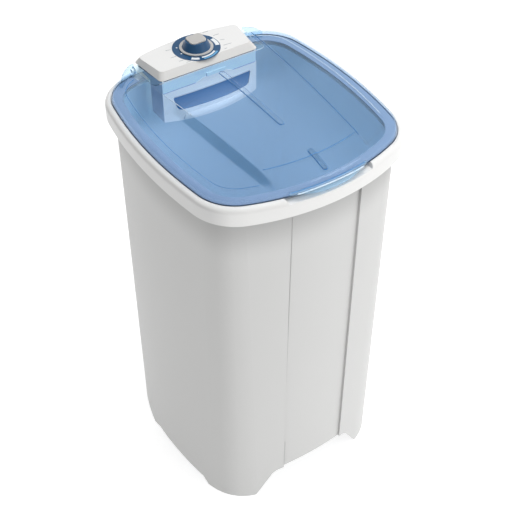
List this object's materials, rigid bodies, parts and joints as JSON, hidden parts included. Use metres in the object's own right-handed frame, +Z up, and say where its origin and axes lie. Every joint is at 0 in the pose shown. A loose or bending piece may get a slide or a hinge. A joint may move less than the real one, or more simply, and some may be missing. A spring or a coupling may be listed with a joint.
{
  "type": "semi-automatic washing machine",
  "caption": "Single-tub top-loading washing machine: tapered white cabinet on four legs, clear blue hinged lid, dial control panel at the back, agitator and belt drive inside.",
  "frame": {"origin": "on the floor under the middle of the machine's overall box", "axes": "+Z up, -Y out of the front where the lid's finger lip is, +X to the right seen from the front"},
  "size_m": [0.4856, 0.5299, 0.941],
  "materials": {
    "cabinet_white": "satin, lightly textured",
    "frame_white": "smooth semi-gloss",
    "tub_white": "smooth semi-gloss",
    "clear_blue": "clear tinted, polished",
    "housing_blue": "semi-gloss",
    "housing_lilac": "semi-gloss",
    "panel_white": "semi-gloss",
    "dial_blue": "semi-gloss",
    "drawer_blue": "semi-gloss",
    "mesh_white": "woven net",
    "knob_silver": "silver lacquer",
    "black_plastic": "fine texture",
    "black_rubber": "matte",
    "steel": "zinc plated",
    "galvanised": "galvanised sheet",
    "bronze": "sintered bronze",
    "cast_alloy": "die cast",
    "motor_grey": "grey paint",
    "lamination": "steel laminations",
    "capacitor_white": "plain"
  },
  "bodies": {
    "machine": {"cabinet": "cabinet_white", "foot_pads": "black_rubber", "rear_cover": "cabinet_white", "rear_cover_screws": "steel", "top_frame": "frame_white", "frame_screws": "steel", "wash_tub": "tub_white", "control_housing": "housing_blue", "housing_screws": "steel", "hinge_pins": "housing_blue", "control_panel": "panel_white", "panel_screws": "steel", "dial_ring": "dial_blue", "timer_body": "black_plastic", "filter_housing": "housing_lilac", "bearing_housing": "cast_alloy", "bearing_screws": "steel", "shaft_bushes": "bronze", "shaft_seal": "black_rubber", "drive_belt": "black_rubber", "motor_case_lower": "motor_grey", "motor_case_upper": "motor_grey", "motor_bearings": "steel", "stator": "lamination", "motor_grommets": "black_rubber", "motor_bolts": "steel", "motor_beam": "galvanised", "beam_screws": "steel", "capacitor": "capacitor_white", "capacitor_clip": "galvanised", "terminal_box": "black_plastic", "water_inlet": "frame_white", "inlet_nut": "frame_white", "drain_spigot": "black_plastic", "drain_grille": "frame_white", "cable_gland": "black_plastic"},
    "lid": {"lid": "clear_blue"},
    "knob": {"knob_skirt": "knob_silver", "knob_body": "dial_blue", "knob_cap": "knob_silver", "timer_shaft": "steel"},
    "filter": {"filter_drawer": "drawer_blue", "filter_mesh": "mesh_white"},
    "agitator": {"agitator": "tub_white", "agitator_shaft": "steel", "agitator_cap": "frame_white", "agitator_pulley": "black_plastic", "pulley_nut": "steel"},
    "rotor": {"rotor": "lamination", "motor_shaft": "steel", "motor_pulley": "cast_alloy", "motor_fan": "black_plastic"}
  },
  "joints": [
    {"name": "lid_hinge", "type": "hinge", "parent": "machine", "child": "lid", "pos_m": [0, 0.236, 0.898], "axis": [-1, 0, 0], "range_deg": [0, 100]},
    {"name": "timer_turn", "type": "hinge", "parent": "machine", "child": "knob", "pos_m": [0, 0.209, 0.92], "axis": [0, 0, -1], "range_deg": [0, 330]},
    {"name": "filter_slide", "type": "slide", "parent": "machine", "child": "filter", "axis": [0, -1, 0], "range_m": [0, 0.035]},
    {"name": "agitator_spin", "type": "hinge", "parent": "machine", "child": "agitator", "pos_m": [0, 0, 0.396], "axis": [0, 0, 1], "continuous": true},
    {"name": "motor_spin", "type": "hinge", "parent": "machine", "child": "rotor", "pos_m": [0, 0.15, 0.2], "axis": [0, 0, 1], "continuous": true}
  ],
  "couplings": [
    {"joint": "motor_spin", "follows": "agitator_spin", "ratio": 4.5455}
  ]
}
